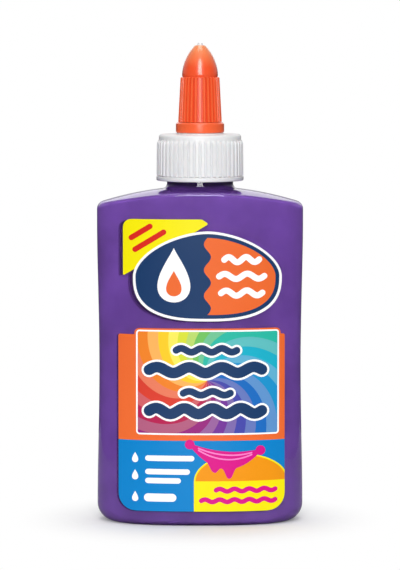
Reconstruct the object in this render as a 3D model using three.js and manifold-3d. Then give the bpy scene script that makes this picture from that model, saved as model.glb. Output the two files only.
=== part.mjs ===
// A squeeze bottle of coloured glue: clear oval bottle, screw cap with a spout, and tip that twists open.
// Millimetres, +Z up. The origin is the middle of the base, and the front label faces -Y.

import * as THREE from 'three';
import { mergeVertices } from 'three/addons/utils/BufferGeometryUtils.js';
import Module from 'manifold-3d';

const wasm = await Module();
wasm.setup();

// Bottle body
const BODY_WIDTH = 64.6;
const BODY_DEPTH = 31;
const BODY_POWER = 2.3; // power of the oval section: 2 is an ellipse, more is squarer
const WALL = 0.8;
const WAIST_INSET = 0.65; // how far the walls draw in half way up
const WAIST_HEIGHT = 50;
const WAIST_REACH = 44; // above and below the waist, where the drawing in ends
const WALL_ROWS = [8, 20, 33, 50, 67, 80, 92];
const SIDE_HEEL = 5.5; // rounding between base and wall at the sides
const FRONT_HEEL = 1.8; // and at the front and back
const FOOT_BAND = 4; // width of the flat ring that the bottle stands on
const PUSH_UP = 1.4; // height of the hollow under the base
const PUSH_UP_SLOPE = 2; // width of the slope between the flat ring and the hollow
const SHOULDER_TOP = 105.2; // where the shoulder's dome would meet the axis
const SHOULDER_CURVE = 100; // radius of that dome, seen from the front
const SHOULDER_FALL = 85; // radius of that dome, seen from the side
const SIDE_EDGE = 2.6; // rounding between wall and shoulder at the sides
const FRONT_EDGE = 0.9; // and at the front and back
const LEAST_ROUND = 0.15; // of an inner skin's edge

// Neck and its thread
const NECK_RADIUS = 10.35;
const NECK_BORE = 8.7;
const NECK_FILLET = 1.6;
const MOUTH = 118.9; // height of the lip
const LIP_CHAMFER = 0.4;
const CAP_PITCH = 3.175; // eight threads to the inch
const NECK_THREAD_START = 109.8;
const NECK_THREAD = {
  start: NECK_THREAD_START, from: 0, turns: 1.5,
  root: NECK_RADIUS, crest: 11.75, rootHalf: 1.1, crestHalf: 0.45,
};

// Contents and labels
const CLEARANCE = 0.3; // between pieces that touch on the real object
const FILL_LEVEL = 107.2;
const LABEL_WIDTH = 51.8;
const LABEL_FOOT = 4.6;
const LABEL_TOP = 95.9;
const LABEL_CORNER = 5.3;
const LABEL_SHIFT = 0.5; // the label sits this far right of the middle
const LABEL_GAP = 0.15;
const LABEL_THICKNESS = 0.2;

// Screw cap
const CAP_FOOT = 107.05;
const CAP_TOP = 121.5;
const CAP_DECK = 1.4; // thickness of the cap's top
const CAP_BORE = 12.15;
const CAP_RIM_RADIUS = 13.65;
const CAP_RIM_TOP = 108.4;
const CAP_WALL_RADIUS = 12.85;
const CAP_EDGE_ROUND = 1;
const CAP_SEAT_RADIUS = 7.4; // raised seat under the tip's collar
const CAP_RIBS = {
  count: 46, shift: 0, foot: 108.3, top: 118.85, fall: 1.7,
  footCrest: 13.6, topCrest: 13.4, depth: 0.45, inner: 12.5,
};
const CAP_THREAD = {
  start: NECK_THREAD_START - CAP_PITCH / 2, from: 0.25, turns: 1.25,
  root: CAP_BORE, crest: 11, rootHalf: 0.9, crestHalf: 0.35,
};
const LINER_THICKNESS = 0.8;
const LINER_RADIUS = 11.6;
const LINER_HOLE = 5.5;

// Spout, moulded on the cap
const SPOUT_RADIUS = 4.2;
const SPOUT_STEP = 132.6; // where the spout narrows to its sealing part
const SPOUT_SEAL_RADIUS = 3.6;
const SPOUT_TOP = 138.4;
const SPOUT_BORE = 2.4;
const TIP_LEAD = 4; // rise of the tip in one turn
const SPOUT_THREAD_START = 126.5;
const SPOUT_THREAD = {
  start: SPOUT_THREAD_START, from: 0, turns: 1.25,
  root: SPOUT_RADIUS, crest: 4.85, rootHalf: 0.6, crestHalf: 0.3,
};
const PIN_RADIUS = 0.85;
const PIN_FOOT = 136.6;
const PIN_TOP = 150;
const PIN_ROUND = 0.4;
const SPOKES = { count: 3, width: 0.8, height: 1.6 };

// Twist tip and its foot collar
const COLLAR_FOOT = 122;
const COLLAR_TOP = 125.4;
const COLLAR_RADIUS = 7.55;
const COLLAR_CHAMFER = 0.3;
const COLLAR_SLOPE = { width: 0.6, height: 0.8 };
const TIP_SKIRT_RADIUS = 5.75;
const TIP_BORE = 5.2;
const TIP_FOOT = 125.6;
const TIP_FOOT_RADIUS = 6.45;
const TIP_SHOULDER = 139.4; // where the ribs end and the smooth nose starts
const TIP_NOSE_RADIUS = 5.62;
const TIP_NOSE_CURVE = 13.9; // radius of the nose's arched profile
const TIP_END = 149.2;
const TIP_LAND_RADIUS = 3.8; // bore that slides on the spout's sealing part
const TIP_LAND_FOOT = 133.2;
const TIP_LAND_TOP = 141.2;
const TIP_ORIFICE = 1.05;
const TIP_ORIFICE_FOOT = 147.6;
const TIP_RIBS = {
  count: 30, shift: 1, foot: TIP_FOOT, top: TIP_SHOULDER, fall: 0.15,
  footCrest: 6.85, topCrest: 6.1, depth: 0.35, inner: 5.4,
};
const TIP_THREAD = {
  start: SPOUT_THREAD_START - TIP_LEAD / 2, from: 0.5, turns: 1.25,
  root: TIP_BORE, crest: 4.5, rootHalf: 0.6, crestHalf: 0.3,
};

// Fineness of the curved surfaces
const OVAL_COLUMNS = 36;
const ROUND_COLUMNS = 36;
const PIN_COLUMNS = 12;
const ARC_STEPS = 3;
const DOME_STEPS = 2;
const NOSE_STEPS = 5;
const THREAD_STEPS_PER_TURN = 18;
const THREAD_SINK = 0.4; // a thread's root runs this far into the wall that carries it
const THREAD_END_HEIGHT = 0.25; // share of a thread's height that is left at its ends
const FILM_OVERRUN = 1; // how far the block that shapes the labels runs past their ends

const EIGHTH = Math.PI / 4;

// Points and rings

function circle(radius, height, columns = ROUND_COLUMNS) {
  return Array.from({ length: columns }, (_, column) => {
    const angle = (2 * Math.PI * column) / columns;
    return new THREE.Vector3(radius * Math.cos(angle), radius * Math.sin(angle), height);
  });
}

function signedPower(value, power) {
  return Math.sign(value) * Math.abs(value) ** power;
}

// A point of the oval section at one angle, moved inwards by inset.
function ovalPoint(angle, inset, height = 0) {
  const x = signedPower(Math.cos(angle), 2 / BODY_POWER) * (BODY_WIDTH / 2 - inset);
  const y = signedPower(Math.sin(angle), 2 / BODY_POWER) * (BODY_DEPTH / 2 - inset);
  return new THREE.Vector3(x, y, height);
}

const OVAL_ANGLES = Array.from(
  { length: OVAL_COLUMNS }, (_, column) => (2 * Math.PI * column) / OVAL_COLUMNS,
);

function ovalRing(inset, height) {
  return OVAL_ANGLES.map((angle) => ovalPoint(angle, inset, height));
}

function heelRadius(angle) {
  return THREE.MathUtils.lerp(FRONT_HEEL, SIDE_HEEL, Math.cos(angle) ** 4);
}

function edgeRadius(angle) {
  return THREE.MathUtils.lerp(FRONT_EDGE, SIDE_EDGE, Math.cos(angle) ** 8);
}

// A ring of the base, drawn in from the inner end of the heel's rounding.
function baseRing(reach, height) {
  return OVAL_ANGLES.map((angle) => ovalPoint(angle, heelRadius(angle) + reach, height));
}

function waist(height) {
  const share = Math.min(1, Math.abs(height - WAIST_HEIGHT) / WAIST_REACH);
  return WAIST_INSET * (1 - share * share) ** 2;
}

// Height of the shoulder's dome above a point.
function dome(point, inset) {
  return SHOULDER_TOP - inset - (point.x ** 2 / SHOULDER_CURVE + point.y ** 2 / SHOULDER_FALL) / 2;
}

// Points of an arc in a profile, from one angle to another, as [radius, height].
function arc(centreRadius, centreHeight, radius, fromAngle, toAngle, steps = ARC_STEPS) {
  return Array.from({ length: steps + 1 }, (_, step) => {
    const angle = THREE.MathUtils.lerp(fromAngle, toAngle, step / steps);
    return [centreRadius + radius * Math.cos(angle), centreHeight + radius * Math.sin(angle)];
  });
}

// Closed geometry

function signedVolume(geometry) {
  const points = geometry.attributes.position;
  const corners = [new THREE.Vector3(), new THREE.Vector3(), new THREE.Vector3()];
  let volume = 0;
  for (let first = 0; first < geometry.index.count; first += 3) {
    corners.forEach((corner, side) => {
      corner.fromBufferAttribute(points, geometry.index.getX(first + side));
    });
    volume += corners[0].dot(corners[1].clone().cross(corners[2])) / 6;
  }
  return volume;
}

// Merges shared points, and turns a geometry round if its faces point inwards.
function closed(geometry) {
  const bare = geometry.clone();
  bare.deleteAttribute('normal');
  bare.deleteAttribute('uv');
  const merged = mergeVertices(bare);
  if (signedVolume(merged) < 0) {
    merged.setIndex(Array.from(merged.index.array).reverse());
  }
  return merged;
}

// Skins a stack of rings. A ring of one point closes an end, and a loop joins the last ring to the first.
function loft(rings, loop = false) {
  const positions = rings.flat().flatMap((point) => point.toArray());
  const starts = [];
  rings.reduce((total, ring) => {
    starts.push(total);
    return total + ring.length;
  }, 0);
  const triangles = [];
  const spans = loop ? rings.length : rings.length - 1;
  for (let span = 0; span < spans; span += 1) {
    const next = (span + 1) % rings.length;
    const columns = Math.max(rings[span].length, rings[next].length);
    for (let column = 0; column < columns; column += 1) {
      const beside = (column + 1) % columns;
      const low = (index) => starts[span] + (index % rings[span].length);
      const high = (index) => starts[next] + (index % rings[next].length);
      if (rings[span].length > 1) {
        triangles.push(low(column), low(beside), high(beside));
      }
      if (rings[next].length > 1) {
        triangles.push(low(column), high(beside), high(column));
      }
    }
  }
  const geometry = new THREE.BufferGeometry();
  geometry.setAttribute('position', new THREE.Float32BufferAttribute(positions, 3));
  geometry.setIndex(triangles);
  return closed(geometry);
}

// Turns a closed profile of [radius, height] points round the upright axis.
function turned(profile, columns = ROUND_COLUMNS) {
  const points = [...profile, profile[0]].map(([radius, height]) => new THREE.Vector2(radius, height));
  return closed(new THREE.LatheGeometry(points, columns).rotateX(Math.PI / 2));
}

function solid(geometry) {
  const vertProperties = geometry.attributes.position.array;
  const triVerts = Uint32Array.from(geometry.index.array);
  return new wasm.Manifold(new wasm.Mesh({ numProp: 3, vertProperties, triVerts }));
}

function geometryOf(body) {
  const { vertProperties, triVerts } = body.getMesh();
  const geometry = new THREE.BufferGeometry();
  geometry.setAttribute('position', new THREE.BufferAttribute(vertProperties, 3));
  geometry.setIndex(new THREE.BufferAttribute(triVerts, 1));
  geometry.computeVertexNormals();
  return geometry;
}

// A right-hand helical ridge. Its height falls away at both ends.
function threadRidge({ start, from, turns, root, crest, rootHalf, crestHalf }, lead) {
  const steps = Math.round(turns * THREAD_STEPS_PER_TURN);
  const sunkRoot = root - Math.sign(crest - root) * THREAD_SINK;
  const rings = Array.from({ length: steps + 1 }, (_, step) => {
    const turn = from + (turns * step) / steps;
    const angle = 2 * Math.PI * turn;
    const height = start + lead * turn;
    const atEnd = step === 0 || step === steps;
    const top = atEnd ? THREE.MathUtils.lerp(root, crest, THREAD_END_HEIGHT) : crest;
    const [across, along] = [Math.cos(angle), Math.sin(angle)];
    const at = (radius, rise) => new THREE.Vector3(radius * across, radius * along, height + rise);
    return [at(sunkRoot, -rootHalf), at(top, -crestHalf), at(top, crestHalf), at(sunkRoot, rootHalf)];
  });
  const middle = (ring) =>
    ring.reduce((sum, point) => sum.add(point), new THREE.Vector3()).divideScalar(ring.length);
  return solid(loft([[middle(rings[0])], ...rings, [middle(rings[steps])]]));
}

// A tapered band of upright ribs round a wall, with a sharp groove between each two. fall is the height of
// the slope at the upper end. A shift of 0 turns a groove to the front, and 1 a rib.
function ribBand({ count, shift, foot, top, fall, footCrest, topCrest, depth, inner }) {
  const columns = 2 * count;
  const ribbed = (crest, height) =>
    circle(crest, height, columns).map((point, column) => {
      const share = (column + shift) % 2 ? (crest - depth) / crest : 1;
      return new THREE.Vector3(point.x * share, point.y * share, height);
    });
  const rings = [
    circle(inner, foot, columns), ribbed(footCrest, foot),
    ribbed(topCrest, top), circle(inner, top + fall, columns),
  ];
  return solid(loft(rings, true));
}

// The rings of one skin of the bottle, from the middle of the base up to the top of the neck.
function bottleSkin(inset, neckRadius, fillet, top) {
  const rings = [
    [new THREE.Vector3(0, 0, PUSH_UP + inset)],
    baseRing(FOOT_BAND + PUSH_UP_SLOPE, PUSH_UP + inset),
    baseRing(FOOT_BAND, inset),
  ];
  const heel = OVAL_ANGLES.map((angle) => {
    const radius = heelRadius(angle);
    return arc(radius, radius, radius - inset, -2 * EIGHTH, -4 * EIGHTH)
      .map(([reach, height]) => ovalPoint(angle, reach, height));
  });
  for (let step = 0; step <= ARC_STEPS; step += 1) {
    rings.push(heel.map((points) => points[step]));
  }
  WALL_ROWS.forEach((height) => rings.push(ovalRing(inset + waist(height), height)));
  const edge = OVAL_ANGLES.map((angle) => {
    const roundOff = Math.max(edgeRadius(angle), inset + LEAST_ROUND);
    const edgeReach = roundOff - inset;
    const start = ovalPoint(angle, roundOff);
    const slope = Math.atan(Math.hypot(start.x / SHOULDER_CURVE, start.y / SHOULDER_FALL));
    const crown = ovalPoint(angle, roundOff - edgeReach * Math.sin(slope));
    const centre = dome(crown, inset) - edgeReach * Math.cos(slope);
    return arc(roundOff, centre, edgeReach, 4 * EIGHTH, 2 * EIGHTH + slope)
      .map(([reach, height]) => ovalPoint(angle, reach, height));
  });
  for (let step = 0; step <= ARC_STEPS; step += 1) {
    rings.push(edge.map((points) => points[step]));
  }
  const rim = rings.at(-1);
  const filletFoot = circle(neckRadius + fillet, 0, OVAL_COLUMNS);
  for (let step = 1; step <= DOME_STEPS; step += 1) {
    rings.push(rim.map((point, column) => {
      const flat = new THREE.Vector3(point.x, point.y, 0).lerp(filletFoot[column], step / DOME_STEPS);
      return flat.setZ(dome(flat, inset));
    }));
  }
  const filletArc = arc(neckRadius + fillet, fillet, fillet, -2 * EIGHTH, -4 * EIGHTH);
  filletArc.slice(1).forEach(([radius, rise]) => {
    const ring = circle(radius, 0, OVAL_COLUMNS);
    rings.push(ring.map((point, column) => point.setZ(dome(filletFoot[column], inset) + rise)));
  });
  rings.push(circle(neckRadius, top, OVAL_COLUMNS));
  return rings;
}

// Sub-parts

function makeBottle() {
  const outer = bottleSkin(0, NECK_RADIUS, NECK_FILLET, MOUTH - LIP_CHAMFER);
  const lip = circle(NECK_RADIUS - LIP_CHAMFER, MOUTH, OVAL_COLUMNS);
  const inner = bottleSkin(WALL, NECK_BORE, NECK_FILLET + WALL, MOUTH);
  const shell = loft([...outer, lip, ...inner.reverse()]);
  return geometryOf(solid(shell).add(threadRidge(NECK_THREAD, CAP_PITCH)));
}

function makeGlueFill() {
  const skin = bottleSkin(WALL + CLEARANCE, NECK_BORE - CLEARANCE, NECK_FILLET + WALL, FILL_LEVEL);
  return loft([...skin, [new THREE.Vector3(0, 0, FILL_LEVEL)]]);
}

// A block that follows the body's walls, standing off them by gap.
function wallBlock(gap) {
  const heights = [LABEL_FOOT - FILM_OVERRUN, ...WALL_ROWS, LABEL_TOP + FILM_OVERRUN];
  const rings = heights.map((height) => ovalRing(waist(height) - gap, height));
  const foot = [new THREE.Vector3(0, 0, heights[0])];
  const top = [new THREE.Vector3(0, 0, heights.at(-1))];
  return solid(loft([foot, ...rings, top]));
}

// The label's rounded outline, swept forwards from the middle of the bottle.
function labelOutline() {
  const left = LABEL_SHIFT - LABEL_WIDTH / 2;
  const right = LABEL_SHIFT + LABEL_WIDTH / 2;
  const outline = new THREE.Shape();
  outline.absarc(right - LABEL_CORNER, LABEL_FOOT + LABEL_CORNER, LABEL_CORNER, -2 * EIGHTH, 0);
  outline.absarc(right - LABEL_CORNER, LABEL_TOP - LABEL_CORNER, LABEL_CORNER, 0, 2 * EIGHTH);
  outline.absarc(left + LABEL_CORNER, LABEL_TOP - LABEL_CORNER, LABEL_CORNER, 2 * EIGHTH, 4 * EIGHTH);
  outline.absarc(left + LABEL_CORNER, LABEL_FOOT + LABEL_CORNER, LABEL_CORNER, 4 * EIGHTH, 6 * EIGHTH);
  outline.closePath();
  const settings = { depth: BODY_DEPTH, bevelEnabled: false, curveSegments: 2 * ARC_STEPS };
  return new THREE.ExtrudeGeometry(outline, settings).rotateX(2 * EIGHTH);
}

function makeLabel(turn) {
  const film = wallBlock(LABEL_GAP + LABEL_THICKNESS).subtract(wallBlock(LABEL_GAP));
  const front = film.intersect(solid(closed(labelOutline())));
  return geometryOf(front).rotateZ(turn);
}

function makeSealLiner() {
  const foot = MOUTH + (CAP_TOP - CAP_DECK - MOUTH - LINER_THICKNESS) / 2;
  return turned([
    [LINER_HOLE, foot], [LINER_RADIUS, foot],
    [LINER_RADIUS, foot + LINER_THICKNESS], [LINER_HOLE, foot + LINER_THICKNESS],
  ]);
}

function capShell() {
  const deckFoot = CAP_TOP - CAP_DECK;
  const seatTop = COLLAR_FOOT - CLEARANCE;
  const roundCentre = [CAP_WALL_RADIUS - CAP_EDGE_ROUND, CAP_TOP - CAP_EDGE_ROUND];
  return turned([
    [CAP_BORE, CAP_FOOT], [CAP_RIM_RADIUS, CAP_FOOT],
    [CAP_RIM_RADIUS, CAP_RIM_TOP], [CAP_WALL_RADIUS, CAP_RIM_TOP],
    ...arc(...roundCentre, CAP_EDGE_ROUND, 0, 2 * EIGHTH),
    [CAP_SEAT_RADIUS, CAP_TOP], [CAP_SEAT_RADIUS, seatTop],
    [SPOUT_RADIUS, seatTop], [SPOUT_RADIUS, SPOUT_STEP],
    [SPOUT_SEAL_RADIUS, SPOUT_STEP], [SPOUT_SEAL_RADIUS, SPOUT_TOP],
    [SPOUT_BORE, SPOUT_TOP], [SPOUT_BORE, deckFoot], [CAP_BORE, deckFoot],
  ]);
}

// The pin that plugs the tip's orifice, with the spokes that hold it in the spout.
function closingPin() {
  const shaft = [[new THREE.Vector3(0, 0, PIN_FOOT)], circle(PIN_RADIUS, PIN_FOOT, PIN_COLUMNS)];
  const end = arc(PIN_RADIUS - PIN_ROUND, PIN_TOP - PIN_ROUND, PIN_ROUND, 0, 2 * EIGHTH);
  end.forEach(([radius, height]) => shaft.push(circle(radius, height, PIN_COLUMNS)));
  shaft.push([new THREE.Vector3(0, 0, PIN_TOP)]);
  const reach = (SPOUT_BORE + SPOUT_SEAL_RADIUS) / 2;
  let pin = solid(loft(shaft));
  for (let spoke = 0; spoke < SPOKES.count; spoke += 1) {
    const bar = new THREE.BoxGeometry(reach, SPOKES.width, SPOKES.height);
    bar.translate(reach / 2, 0, PIN_FOOT + SPOKES.height / 2);
    bar.rotateZ((2 * Math.PI * spoke) / SPOKES.count);
    pin = pin.add(solid(closed(bar)));
  }
  return pin;
}

function makeScrewCap() {
  const cap = solid(capShell())
    .add(ribBand(CAP_RIBS))
    .add(threadRidge(CAP_THREAD, CAP_PITCH))
    .add(threadRidge(SPOUT_THREAD, TIP_LEAD))
    .add(closingPin());
  return geometryOf(cap);
}

function makeTipCollar() {
  const inner = TIP_SKIRT_RADIUS + CLEARANCE;
  return turned([
    [inner, COLLAR_FOOT], [COLLAR_RADIUS - COLLAR_CHAMFER, COLLAR_FOOT],
    [COLLAR_RADIUS, COLLAR_FOOT + COLLAR_CHAMFER], [COLLAR_RADIUS, COLLAR_TOP - COLLAR_SLOPE.height],
    [COLLAR_RADIUS - COLLAR_SLOPE.width, COLLAR_TOP], [inner, COLLAR_TOP],
  ]);
}

function makeTwistTip() {
  const noseOffset = TIP_NOSE_CURVE - TIP_NOSE_RADIUS;
  const noseAngle = Math.asin((TIP_END - TIP_SHOULDER) / TIP_NOSE_CURVE);
  const tip = turned([
    [TIP_BORE, COLLAR_FOOT + CLEARANCE], [TIP_SKIRT_RADIUS, COLLAR_FOOT + CLEARANCE],
    [TIP_SKIRT_RADIUS, TIP_FOOT],
    [TIP_FOOT_RADIUS, TIP_FOOT],
    ...arc(-noseOffset, TIP_SHOULDER, TIP_NOSE_CURVE, 0, noseAngle, NOSE_STEPS),
    [TIP_ORIFICE, TIP_END], [TIP_ORIFICE, TIP_ORIFICE_FOOT], [TIP_LAND_RADIUS, TIP_LAND_TOP],
    [TIP_LAND_RADIUS, TIP_LAND_FOOT], [TIP_BORE, TIP_LAND_FOOT],
  ]);
  return geometryOf(solid(tip).add(ribBand(TIP_RIBS)).add(threadRidge(TIP_THREAD, TIP_LEAD)));
}

// The assembly

function piece(name, geometry, look) {
  const mesh = new THREE.Mesh(geometry, new THREE.MeshStandardMaterial({ metalness: 0, ...look }));
  mesh.name = name;
  return mesh;
}

const bottle = new THREE.Group();
bottle.add(
  piece('bottle', makeBottle(), { color: 0xcfc6dd, roughness: 0.08, transparent: true, opacity: 0.4 }),
  piece('glue_fill', makeGlueFill(), { color: 0x653f98, roughness: 0.35 }),
  piece('front_label', makeLabel(0), { color: 0xf76d3a, roughness: 0.3 }),
  piece('back_label', makeLabel(4 * EIGHTH), { color: 0xf4f4f2, roughness: 0.3 }),
);

const tip = new THREE.Group();
tip.add(
  piece('tip_collar', makeTipCollar(), { color: 0xf05f33, roughness: 0.35 }),
  piece('twist_tip', makeTwistTip(), { color: 0xf05f33, roughness: 0.35 }),
);

const closure = new THREE.Group();
closure.add(
  piece('seal_liner', makeSealLiner(), { color: 0xf1efe9, roughness: 0.8 }),
  piece('screw_cap', makeScrewCap(), { color: 0xeceded, roughness: 0.4 }),
  tip,
);

const glueBottle = new THREE.Group();
glueBottle.add(bottle, closure);

export default glueBottle;
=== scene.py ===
"""A squeeze bottle of coloured glue with printed labels, a screw cap and a tip that twists open."""

import math

import bmesh
import bpy
from bpy.props import FloatProperty, FloatVectorProperty, IntProperty, PointerProperty
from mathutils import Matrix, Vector


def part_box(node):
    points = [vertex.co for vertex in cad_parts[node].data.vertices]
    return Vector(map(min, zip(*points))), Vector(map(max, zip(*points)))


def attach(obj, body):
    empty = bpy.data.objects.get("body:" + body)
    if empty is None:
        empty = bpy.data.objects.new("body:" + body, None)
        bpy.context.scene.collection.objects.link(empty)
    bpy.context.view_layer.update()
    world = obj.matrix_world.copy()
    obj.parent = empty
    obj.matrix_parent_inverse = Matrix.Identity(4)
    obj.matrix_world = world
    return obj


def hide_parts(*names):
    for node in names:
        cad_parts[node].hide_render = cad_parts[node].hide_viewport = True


bl_info = {
    "name": "Glue Bottle",
    "version": (1, 0, 0),
    "blender": (4, 5, 0),
    "location": "View3D > Sidebar > Glue Bottle",
    "description": "Builds a squeeze bottle of coloured glue with a screw cap and a twist tip",
    "category": "Object",
}

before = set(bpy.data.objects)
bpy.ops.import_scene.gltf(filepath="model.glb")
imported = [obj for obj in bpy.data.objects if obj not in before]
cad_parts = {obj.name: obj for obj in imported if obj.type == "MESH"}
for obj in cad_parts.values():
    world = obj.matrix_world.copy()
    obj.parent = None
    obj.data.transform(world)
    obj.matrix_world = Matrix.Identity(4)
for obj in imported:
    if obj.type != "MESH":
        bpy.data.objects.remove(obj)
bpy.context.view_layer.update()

MM = 0.001
TURN = 2 * math.pi
QUARTER = math.pi / 2
X, Y, Z = range(3)
LOW = {node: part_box(node)[0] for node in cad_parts}
HIGH = {node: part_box(node)[1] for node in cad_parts}
ROUND_STEPS = 6  # along a rounded corner of an outline
RIB_COLUMNS = 12  # points round each rib and groove
SHARP_EDGE = math.radians(35)  # edges that turn further than this stay sharp


# Properties

def length(name, description, default):
    """A length, in metres."""
    return FloatProperty(name=name, description=description, default=default, unit="LENGTH", precision=5)


def paint(name, description, *levels):
    """A colour, from the levels of 0 to 255 that a picture of it shows."""
    parts = [level / 255 for level in levels]
    linear = [part / 12.92 if part < 0.04 else ((part + 0.055) / 1.055) ** 2.4 for part in parts]
    return FloatVectorProperty(
        name=name, description=description, default=linear, size=3, min=0, max=1, subtype="COLOR"
    )


class BottleSizes(bpy.types.PropertyGroup):
    """Sizes of the bottle and of the glue in it."""

    width: length("Width", "Across the shoulder, seen from the front", HIGH["bottle"][X] - LOW["bottle"][X])
    depth: length("Depth", "From front to back at the shoulder", HIGH["bottle"][Y] - LOW["bottle"][Y])
    mouth: length("Mouth", "Height of the lip", HIGH["bottle"][Z])
    fill_level: length("Fill level", "Height of the glue in the neck", HIGH["glue_fill"][Z])
    power: FloatProperty(name="Section power", description="2 is an ellipse, more is squarer", default=2.3)
    wall: length("Wall", "Thickness of the clear wall", 0.8 * MM)
    waist_inset: length("Waist inset", "How far the walls draw in half way up", 0.65 * MM)
    waist_height: length("Waist height", "Where the walls are drawn in most", 50 * MM)
    waist_reach: length("Waist reach", "How far above and below the drawing in ends", 44 * MM)
    side_heel: length("Side heel", "Rounding between base and wall at the sides", 5.5 * MM)
    front_heel: length("Front heel", "Rounding between base and wall at the front and back", 1.8 * MM)
    foot_band: length("Foot band", "Width of the flat ring that the bottle stands on", 4 * MM)
    push_up: length("Push-up", "Height of the hollow under the base", 1.4 * MM)
    push_up_slope: length("Push-up slope", "Width of the slope into that hollow", 2 * MM)
    shoulder_top: length("Shoulder top", "Where the shoulder's dome would meet the axis", 105.2 * MM)
    shoulder_curve: length("Shoulder curve", "Radius of the shoulder's dome, seen from the front", 100 * MM)
    shoulder_fall: length("Shoulder fall", "Radius of the shoulder's dome, seen from the side", 85 * MM)
    side_edge: length("Side edge", "Rounding between wall and shoulder at the sides", 2.6 * MM)
    front_edge: length("Front edge", "Rounding between wall and shoulder at the front and back", 0.9 * MM)
    neck: length("Neck radius", "Outer radius of the neck", 10.35 * MM)
    bore: length("Neck bore", "Inner radius of the neck", 8.7 * MM)
    fillet: length("Neck fillet", "Rounding between shoulder and neck", 1.6 * MM)
    lip: length("Lip rounding", "Rounding of the neck's lip", 0.5 * MM)
    thread_crest: length("Thread crest", "Outer radius of the neck's thread", 11.7 * MM)


class CapSizes(bpy.types.PropertyGroup):
    """Sizes of the screw cap and its spout."""

    foot: length("Foot", "Height of the skirt's lower edge", LOW["screw_cap"][Z])
    pin_top: length("Pin top", "Height of the closing pin", HIGH["screw_cap"][Z] - 0.01 * MM)
    rim: length("Rim radius", "Radius of the plain rim at the foot", HIGH["screw_cap"][X])
    rim_top: length("Rim top", "Where the rim ends and the ribs start", 108.4 * MM)
    top: length("Top", "Height of the flat top", 121.5 * MM)
    deck: length("Deck", "Thickness of the top", 1.4 * MM)
    bore: length("Bore", "Inner radius of the skirt", 12.15 * MM)
    ribs: IntProperty(name="Ribs", description="Number of grip ribs", default=46)
    rib_top: length("Rib top", "Where the ribs end", 119.85 * MM)
    rib_depth: length("Rib depth", "How far the ribs stand out", 0.62 * MM)
    wall_foot: length("Wall at the foot", "Radius between the ribs at their foot", 12.96 * MM)
    wall_top: length("Wall at the top", "Radius of the plain edge above the ribs", 12.85 * MM)
    seat: length("Seat radius", "Raised seat under the tip's ring", 7.4 * MM)
    seat_top: length("Seat top", "Height of that seat", LOW["tip_collar"][Z] - 0.1 * MM)
    spout: length("Spout radius", "Outer radius of the spout", 4.2 * MM)
    spout_step: length("Spout step", "Where the spout narrows", 132.6 * MM)
    spout_seal: length("Seal radius", "Radius of the spout's sealing part", 3.6 * MM)
    spout_thread: length("Spout thread", "Where the spout's thread starts", 126.5 * MM)
    spout_top: length("Spout top", "Height of the spout", 138.4 * MM)
    spout_bore: length("Spout bore", "Inner radius of the spout", 2.4 * MM)
    pin: length("Pin radius", "Radius of the closing pin", 0.85 * MM)
    pin_foot: length("Pin foot", "Where the pin stands on its spokes", 136.6 * MM)
    pitch: length("Pitch", "Rise of the cap's thread in one turn", 3.175 * MM)
    lead: length("Lead", "Rise of the tip's thread in one turn", 4 * MM)


class TipSizes(bpy.types.PropertyGroup):
    """Sizes of the twist tip and its foot ring."""

    ring_foot: length("Ring foot", "Height of the ring's lower edge", LOW["tip_collar"][Z])
    ring_top: length("Ring top", "Height of the ring's upper face", HIGH["tip_collar"][Z] - 0.15 * MM)
    ring: length("Ring radius", "Outer radius of the foot ring", HIGH["tip_collar"][X])
    ring_slope: length("Ring slope", "Height of the slope round the ring's upper edge", 0.5 * MM)
    skirt_foot: length("Skirt foot", "Height of the hidden skirt's edge", LOW["twist_tip"][Z])
    end: length("End", "Height of the nose", HIGH["twist_tip"][Z])
    skirt: length("Skirt radius", "Outer radius of the hidden skirt", 5.75 * MM)
    bore: length("Bore", "Inner radius of the skirt", 5.2 * MM)
    foot: length("Foot", "Where the ribs start", HIGH["tip_collar"][Z] - 0.1 * MM)
    wall_foot: length("Wall at the foot", "Radius between the ribs at their foot", 6.24 * MM)
    wall_top: length("Wall at the top", "Radius between the ribs at their top", 5.48 * MM)
    ribs: IntProperty(name="Ribs", description="Number of grip ribs", default=30)
    rib_depth: length("Rib depth", "How far the ribs stand out", 0.6 * MM)
    shoulder: length("Shoulder", "Where the ribs end and the nose starts", 139.4 * MM)
    nose: length("Nose radius", "Radius of the nose at its foot", 5.62 * MM)
    nose_curve: length("Nose curve", "Radius of the nose's arched outline", 13.9 * MM)
    land: length("Land radius", "Bore that slides on the spout", 3.8 * MM)
    land_foot: length("Land foot", "Where that bore starts", 133.2 * MM)
    land_top: length("Land top", "Where that bore ends", 141.2 * MM)
    orifice: length("Orifice", "Radius of the hole in the nose", 1.05 * MM)
    orifice_foot: length("Orifice foot", "Where that hole starts", 147.6 * MM)


class LabelSizes(bpy.types.PropertyGroup):
    """Places of the printed areas, seen from the front."""

    left: length("Left", "Left edge of the printed area", LOW["front_label"][X])
    right: length("Right", "Right edge of the printed area", HIGH["front_label"][X])
    foot: length("Foot", "Lower edge of the printed area", LOW["front_label"][Z])
    top: length("Top", "Upper edge of the printed area", HIGH["front_label"][Z])
    corner: length("Corner", "Rounding of the label's corners", 5.3 * MM)
    film: length("Film", "Thickness of one printed layer", 0.02 * MM)
    blue_top: length("Blue top", "Where the blue panel meets the orange one", 26.75 * MM)
    orange_top: length("Orange top", "Upper edge of the orange panel", 59.8 * MM)
    burst_x: length("Burst across", "Middle of the rainbow burst, across", 2.2 * MM)
    burst_z: length("Burst up", "Middle of the rainbow burst, upwards", 45.5 * MM)


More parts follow.
